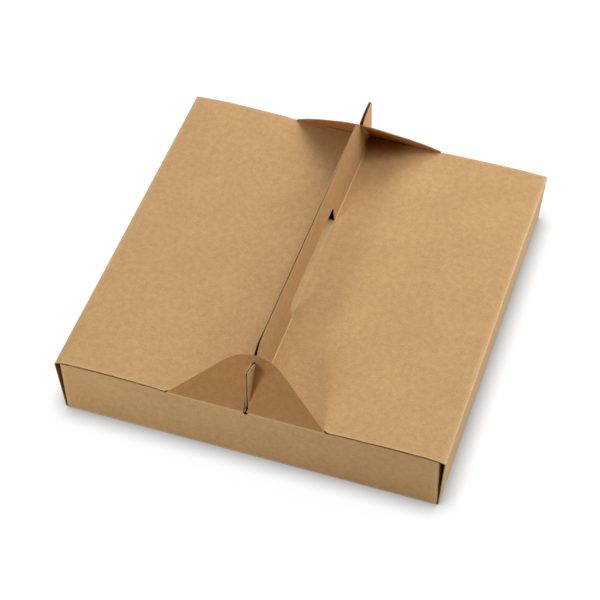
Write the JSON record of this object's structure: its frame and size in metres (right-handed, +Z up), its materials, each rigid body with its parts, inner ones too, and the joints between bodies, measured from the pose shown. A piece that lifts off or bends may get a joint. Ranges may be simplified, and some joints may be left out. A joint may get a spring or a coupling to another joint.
{
  "type": "pizza box",
  "caption": "Square folded carrier box for a pizza, of plain kraft paperboard, with a fold-up handle along the middle and slotted lock flaps.",
  "frame": {"origin": "middle of the base's underside, where the box rests", "axes": "+Z up, +X to the right along the front wall, +Y from the front wall to the rear wall"},
  "size_m": [0.261, 0.2637, 0.0799],
  "materials": {
    "kraft_board": "uncoated, matte, with fine fibre flecks"
  },
  "bodies": {
    "carton": {"carton": "kraft_board"},
    "front_lock_flap": {"front_lock_flap": "kraft_board"},
    "rear_lock_flap": {"rear_lock_flap": "kraft_board"}
  },
  "joints": [
    {"name": "front_lock_flap_hinge", "type": "hinge", "parent": "carton", "child": "front_lock_flap", "pos_m": [0, -0.12905, 0.0442], "axis": [1, 0, 0], "range_deg": [0, 125]},
    {"name": "rear_lock_flap_hinge", "type": "hinge", "parent": "carton", "child": "rear_lock_flap", "pos_m": [0, 0.12905, 0.0442], "axis": [-1, 0, 0], "range_deg": [0, 125]}
  ]
}
